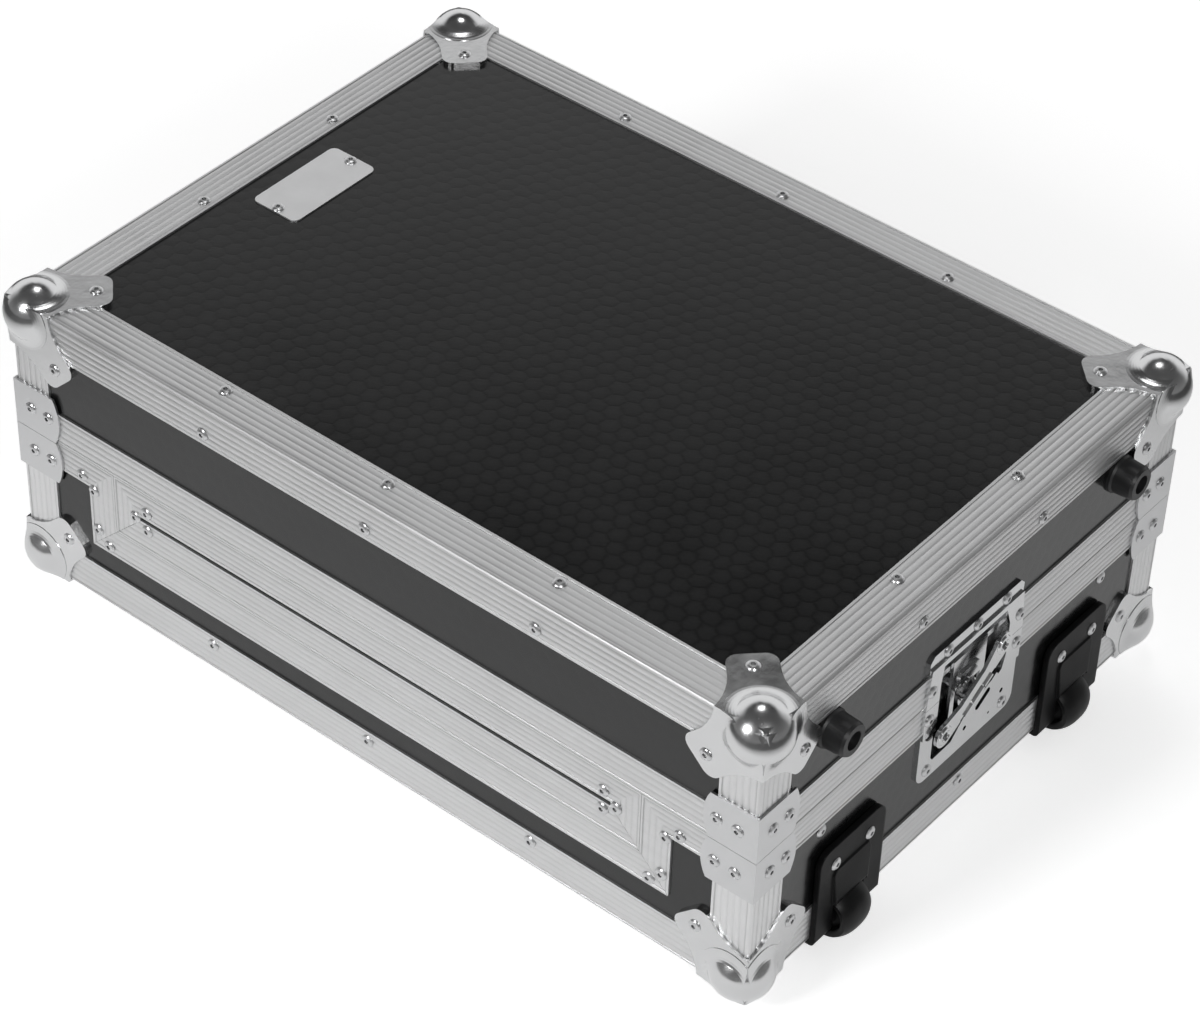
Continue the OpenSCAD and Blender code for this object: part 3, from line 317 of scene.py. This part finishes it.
def level_bars(shader, place):
    """The scale that stretches a pattern along the level bar that runs through this place."""
    parts = shader.parts(place)
    from_side = shader.math("SUBTRACT", SIDE_FACE, shader.math("ABSOLUTE", parts["Y"]))
    offset = shader.math("SUBTRACT", parts["X"], MIDDLE_X)
    from_end = shader.math("SUBTRACT", END_FACE, shader.math("ABSOLUTE", offset))
    long_bar = shader.math("LESS_THAN", from_side, from_end)
    return shader.mix("VECTOR", long_bar, (1.0, DRAWN, 1.0), (DRAWN, 1.0, 1.0))


def fluted(name, base, upright=False):
    """Drawn aluminium: fine lines along the bar, soft handling marks, and painted shade
    between the flutes.
    """
    shader = Shader(name, base, roughness=0.42, metallic=1.0)
    place = shader.place()
    stretch = (1.0, 1.0, DRAWN) if upright else level_bars(shader, place)
    along = shader.vector("MULTIPLY", place, stretch)
    lines = shader.noise(along, scale=1800.0, detail=3.0, roughness=0.6)
    broad = shader.noise(along, scale=260.0, detail=2.0)
    marks = shader.noise(place, scale=14.0, detail=4.0, roughness=0.6)
    tone = shader.total(shader.span(lines, -0.10, 0.10), shader.span(broad, 0.35, 0.65),
                        shader.span(marks, -0.12, 0.12, NOISE_BODY))
    color = shader.ramp(tone, [(0.2, shade(base, 0.86)), (0.55, base),
                               (0.9, shade(base, 1.08))])
    # Painted shade: the colour darkens in the hollows between the flutes
    open_sky = shader.openness(FLUTE_REACH, FLUTE_RAYS)
    color = shader.vector("MULTIPLY", color, shader.span(open_sky, 0.74, 1.0, (0.86, 0.98)))
    roughness = shader.total(shader.span(marks, 0.42, 0.54, NOISE_BODY),
                             shader.span(lines, -0.04, 0.04))
    normal = shader.bump(lines, distance=0.00003, strength=0.5)
    return shader.finish(color, roughness, normal)


def bright(name, color, roughness, ripple, scratch=0.5, pit_shade=None):
    """Plated steel: a mirror with slight ripples from the press and hairline scratches.

    Its last argument, (reach, tone), paints shade: hollows narrower than the reach fall to
    that share of the colour.
    """
    shader = Shader(name, color, roughness, metallic=1.0)
    place = shader.place()
    smudge = shader.noise(place, scale=45.0, detail=4.0, roughness=0.6)
    brushed = shader.vector("MULTIPLY", place, (1.0, 0.05, 0.4))
    hair = shader.noise(brushed, scale=1500.0, detail=2.0)
    press = shader.noise(place, scale=90.0, detail=2.0)
    level = shader.total(shader.span(smudge, -0.02, 0.10, (0.35, 0.75)), roughness)
    scratched = shader.span(hair, 0.0, 0.05, (0.55, 0.8))
    level = shader.math("ADD", level, scratched, clamp=True)
    tint = shader.ramp(smudge, [(0.3, shade(color, 0.94)), (0.7, color)])
    if pit_shade:
        reach, tone = pit_shade
        # Painted shade: the colour darkens in the piece's own hollows
        hollow = shader.openness(reach, PIT_RAYS)
        tint = shader.vector("MULTIPLY", tint, shader.span(hollow, tone, 1.0, (0.45, 0.92)))
    normal = shader.bump(press, distance=ripple)
    normal = shader.bump(hair, distance=0.00002, strength=scratch, normal=normal)
    return shader.finish(tint, level, normal)


def moulded(name, color, roughness, grain_scale, depth, specular=0.45, edge=None):
    """Moulded rubber or plastic: a fine skin, dusted a little paler in places.

    edge is the radius to which its edges are rounded for the light.
    """
    shader = Shader(name, color, roughness, specular=specular)
    place = shader.place()
    grain = shader.noise(place, grain_scale, detail=4.0)
    dust = shader.noise(place, scale=30.0, detail=5.0, roughness=0.6)
    tint = shader.ramp(dust, [(0.35, color), (0.8, shade(color, 1.9))])
    level = shader.span(dust, roughness - 0.05, roughness + 0.08, NOISE_BODY)
    normal = None
    if edge:
        rounded = shader.add("ShaderNodeBevel", {"Radius": edge}, samples=EDGE_RAYS)
        normal = rounded.outputs["Normal"]
    normal = shader.bump(grain, distance=depth, strength=0.8, normal=normal)
    return shader.finish(tint, level, normal)


def foam():
    """Open-cell foam: pits between the cells, darkened with painted shade, and a soft
    unevenness.
    """
    shader = Shader("open_cell_foam", FOAM, roughness=0.95, specular=0.15)
    place = shader.place()
    cells = shader.add("ShaderNodeTexVoronoi", {"Vector": place, "Scale": 900.0})
    pits = cells.outputs["Distance"]
    soft = shader.noise(place, scale=60.0, detail=4.0)
    # Painted shade: the colour darkens in the pits; the soft unevenness is the foam's own
    tone = shader.total(shader.math("MULTIPLY", pits, 0.8), shader.span(soft, 0.0, 0.4))
    color = shader.ramp(tone, [(0.1, shade(FOAM, 0.5)), (0.6, FOAM), (1.0, shade(FOAM, 2.2))])
    normal = shader.bump(pits, distance=0.0004, strength=0.9)
    normal = shader.bump(soft, distance=0.0006, strength=0.5, normal=normal)
    return shader.finish(color, normal=normal)


def paint(material, names):
    for name in names:
        mesh = nodes[name].data
        mesh.materials.clear()
        mesh.materials.append(material)


def round_edges(obj, width, segments):
    bevel = obj.modifiers.new("rounded_edges", "BEVEL")
    bevel.width = width
    bevel.segments = segments
    bevel.limit_method = "ANGLE"
    bevel.angle_limit = math.radians(EDGE_ANGLE)


def shade_smooth(obj, angle):
    with bpy.context.temp_override(object=obj, active_object=obj, selected_objects=[obj],
                                   selected_editable_objects=[obj]):
        bpy.ops.object.shade_smooth_by_angle(angle=math.radians(angle))


def put(name, data):
    """An object of this data, linked to the scene."""
    obj = bpy.data.objects.new(name, data)
    bpy.context.scene.collection.objects.link(obj)
    return obj


def camera():
    azimuth = math.radians(CAMERA_AZIMUTH)
    elevation = math.radians(CAMERA_ELEVATION)
    roll = math.radians(CAMERA_ROLL)
    back = Vector((math.sin(azimuth) * math.cos(elevation),
                   -math.cos(azimuth) * math.cos(elevation), math.sin(elevation)))
    level = Vector((math.cos(azimuth), math.sin(azimuth), 0.0))
    up = back.cross(level)
    right = math.cos(roll) * level + math.sin(roll) * up
    above = math.cos(roll) * up - math.sin(roll) * level
    data = bpy.data.cameras.new("photo_camera")
    data.sensor_width = SENSOR_WIDTH
    data.sensor_fit = "HORIZONTAL"
    data.lens = FOCAL_PIXELS / FRAME_PIXELS * SENSOR_WIDTH
    data.clip_end = CLIP_END
    obj = put("photo_camera", data)
    turn = Matrix((right, above, back)).transposed().to_4x4()
    obj.matrix_world = Matrix.Translation(CAMERA_PLACE) @ turn
    bpy.context.scene.camera = obj


def lamp(name, place, aim, side, watts):
    data = bpy.data.lights.new(name, "AREA")
    data.shape = "SQUARE"
    data.size = side
    data.energy = watts
    obj = put(name, data)
    obj.location = place
    obj.rotation_euler = (Vector(aim) - Vector(place)).to_track_quat("-Z", "Y").to_euler()


def surroundings():
    """A studio: a white wall behind the case, a dim room in front and a dark ceiling.

    To the camera it is white all round.
    """
    world = bpy.data.worlds.new("studio")
    bpy.context.scene.world = world
    world.use_nodes = True
    graph = Graph(world.node_tree)
    direction = graph.add("ShaderNodeTexCoord").outputs["Generated"]
    height = graph.parts(direction)["Z"]
    wall = graph.ramp(height, greys(WALL_STOPS))
    room = graph.ramp(height, greys(ROOM_STOPS))
    wall_share = graph.span(graph.vector("DOT_PRODUCT", direction, WALL_SIDE), 0.0, 1.0,
                            WALL_EDGE)
    shell = graph.tree.nodes["Background"]
    graph.set(shell.inputs["Color"], graph.mix("RGBA", wall_share, room, wall))
    white = graph.add("ShaderNodeBackground", {"Color": WHITE})
    path = graph.add("ShaderNodeLightPath").outputs
    inputs = {0: path["Is Camera Ray"], 1: shell.outputs[0], 2: white.outputs[0]}
    seen = graph.add("ShaderNodeMixShader", inputs)
    graph.set(graph.tree.nodes["World Output"].inputs["Surface"], seen.outputs[0])


def floor():
    """White round the case and white to the camera; farther out painted dim to everything
    else, and near the case glowing to mirrors.
    """
    mesh = bpy.data.meshes.new("floor")
    corners = [(x * FLOOR_REACH, y * FLOOR_REACH, 0)
               for x, y in ((-1, -1), (1, -1), (1, 1), (-1, 1))]
    mesh.from_pydata(corners, [], [(0, 1, 2, 3)])
    obj = put("floor", mesh)
    shader = Shader("pale_floor", FLOOR, roughness=0.9, specular=0.1)
    distance = shader.vector("LENGTH", shader.place())
    # Painted shade: farther out the floor's colour falls to FAR_FLOOR, as if its light fell
    # off
    near = shader.span(distance, 1.0, 0.0, NEAR_FLOOR)
    shader.finish(shader.ramp(near, [(0.0, FAR_FLOOR), (1.0, FLOOR)]))
    path = shader.add("ShaderNodeLightPath").outputs
    # Painted light: near the case the floor glows to mirrors
    mirrored = shader.math("MAXIMUM", path["Is Glossy Ray"], path["Is Transmission Ray"])
    mirrored = shader.math("MULTIPLY", mirrored, shader.math("MULTIPLY", near, NEAR_GLOW))
    seen = shader.math("MULTIPLY", path["Is Camera Ray"], shader.span(near, 1.0, CAMERA_GLOW))
    strength = shader.math("MAXIMUM", mirrored, seen)
    glow = shader.add("ShaderNodeEmission", {"Strength": strength})
    inputs = {0: shader.surface.outputs[0], 1: glow.outputs[0]}
    both = shader.add("ShaderNodeAddShader", inputs)
    shader.set(shader.tree.nodes["Material Output"].inputs["Surface"], both.outputs[0])
    mesh.materials.append(shader.material)


def foam_sheet(name, node, body, fill):
    """A cut foam lining in the space of its CAD solid, with its edges rounded over."""
    mesh = nodes[node].data.copy()
    mesh.materials.clear()
    mesh.materials.append(MATERIALS["foam"])
    obj = put(name, mesh)
    round_edges(obj, *FOAM_EDGE)
    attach(obj, body)
    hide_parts(node)


def crowned_tyre(name, node, hub, body):
    """A barrel-shaped tread turned about the wheel's axis, in the space of its CAD solid."""
    low, high = map(Vector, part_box(node))
    hub_low, hub_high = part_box(hub)
    middle = (low + high) / 2
    half = (high.y - low.y) / 2
    radius = (high.z - low.z) / 2
    bore = (hub_high[2] - hub_low[2]) / 2
    shares = [2 * i / CROWN_STEPS - 1 for i in range(CROWN_STEPS + 1)]
    profile = [(half * t, radius - CROWN_DROP * abs(t) ** CROWN_POWER) for t in shares]
    profile += [(half, bore + LIP), (half - LIP, bore), (LIP - half, bore),
                (-half, bore + LIP)]
    points = []
    for i in range(TYRE_STEPS):
        angle = 2 * math.pi * i / TYRE_STEPS
        points += [middle + Vector((r * math.cos(angle), y, r * math.sin(angle)))
                   for y, r in profile]
    rows = len(profile)
    faces = []
    for i in range(TYRE_STEPS):
        here, there = i * rows, (i + 1) % TYRE_STEPS * rows
        for j in range(rows):
            k = (j + 1) % rows
            faces.append((here + j, here + k, there + k, there + j))
    mesh = bpy.data.meshes.new(name)
    mesh.from_pydata(points, [], faces)
    mesh.materials.append(MATERIALS["tread"])
    obj = put(name, mesh)
    shade_smooth(obj, TYRE_SMOOTH_ANGLE)
    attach(obj, body)
    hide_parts(node)


camera()
surroundings()
floor()
for row in LAMPS:
    lamp(*row)

MATERIALS = {
    "laminate": laminate(),
    "fluted": fluted("fluted_aluminium", ALUMINIUM),
    # The upright bars wear the lighter copy of the aluminium: painted light
    "upright": fluted("fluted_aluminium_upright", LIT_UPRIGHT, upright=True),
    "ball": bright("polished_corner_steel", STEEL, roughness=0.18, ripple=0.00012),
    "brace": bright("plated_brace_steel", ZINC, roughness=0.30, ripple=0.00005),
    "plate": bright("satin_name_plate", BLANK, roughness=0.36, ripple=0.00004, scratch=0.8),
    # The rivets' hollows are darkened with painted shade
    "rivet": bright("rivet_steel", ZINC, roughness=0.28, ripple=0.00004, pit_shade=(0.002, 0.30)),
    # The dishes' pockets are darkened with painted shade
    "dish": bright("pressed_dish_steel", STEEL, roughness=0.14, ripple=0.00008,
                   pit_shade=(0.02, 0.18)),
    "latch": bright("latch_steel", STEEL, roughness=0.12, ripple=0.00008),
    "foam": foam(),
    "rubber": moulded("foot_rubber", RUBBER, roughness=0.42, grain_scale=700.0,
                      depth=0.00008),
    "plastic": moulded("housing_plastic", PLASTIC, roughness=0.36, grain_scale=900.0,
                       depth=0.00003, specular=0.07, edge=0.002),
    "tread": moulded("wheel_tread", PLASTIC, roughness=0.40, grain_scale=600.0,
                     depth=0.00006, specular=0.21),
}

# CAD nodes that wear each material
PAINTED = {
    "laminate": ["base_floor_panel", "base_front_panel", "base_rear_panel",
                 "base_left_panel", "base_right_panel", "lid_top_panel", "lid_front_panel",
                 "lid_rear_panel", "lid_left_panel", "lid_right_panel",
                 "front_panel_board"],
    "fluted": ["base_bottom_angles", "base_rims", "opening_liner", "lid_top_angles",
               "lid_rims", "front_panel_top_rim", "front_panel_edging"],
    "upright": ["base_corner_angles", "lid_corner_angles"],
    "ball": ["base_ball_corners", "lid_ball_corners"],
    "brace": ["base_corner_braces", "lid_corner_braces"],
    "plate": ["name_plate"],
    "rivet": ["base_rivets", "lid_rivets", "front_panel_rivets", "base_foot_screws",
              "lid_foot_screws", "wheel_axles", *latch_parts("wing_pin")],
    "dish": ["handle_dish", *latch_parts("dish")],
    "latch": ["handle_bail", *latch_parts("keeper", "spindle", "wing", "hook")],
    "rubber": ["base_feet", "lid_feet", "handle_grip"],
    "plastic": ["wheel_housings", "front_wheel_hub", "rear_wheel_hub"],
    "tread": ["front_wheel_tyre", "rear_wheel_tyre"],
}
for kind, names in PAINTED.items():
    paint(MATERIALS[kind], names)

# Foam linings: name, CAD node, body, fill
LININGS = [
    ("base_floor_lining", "base_floor_foam", "base", 0.9),
    ("base_wall_lining", "base_wall_foam", "base", 0.9),
    ("lid_top_lining", "lid_top_foam", "lid", 0.8),
    ("lid_wall_lining", "lid_wall_foam", "lid", 0.9),
    ("front_panel_lining", "front_panel_foam", "front_panel", 0.9),
]
for row in LININGS:
    foam_sheet(*row)

for end in ("front", "rear"):
    crowned_tyre(f"{end}_tread", f"{end}_wheel_tyre", f"{end}_wheel_hub", f"{end}_wheel")

for obj in nodes.values():
    shade_smooth(obj, SMOOTH_ANGLE)
for name in ("wheel_housings", "handle_dish"):
    round_edges(nodes[name], *PRESSED_EDGE)
for name in latch_parts("dish", "keeper", "wing", "hook"):
    round_edges(nodes[name], *LATCH_EDGE)

view = bpy.context.scene.view_settings
view.view_transform = "Standard"
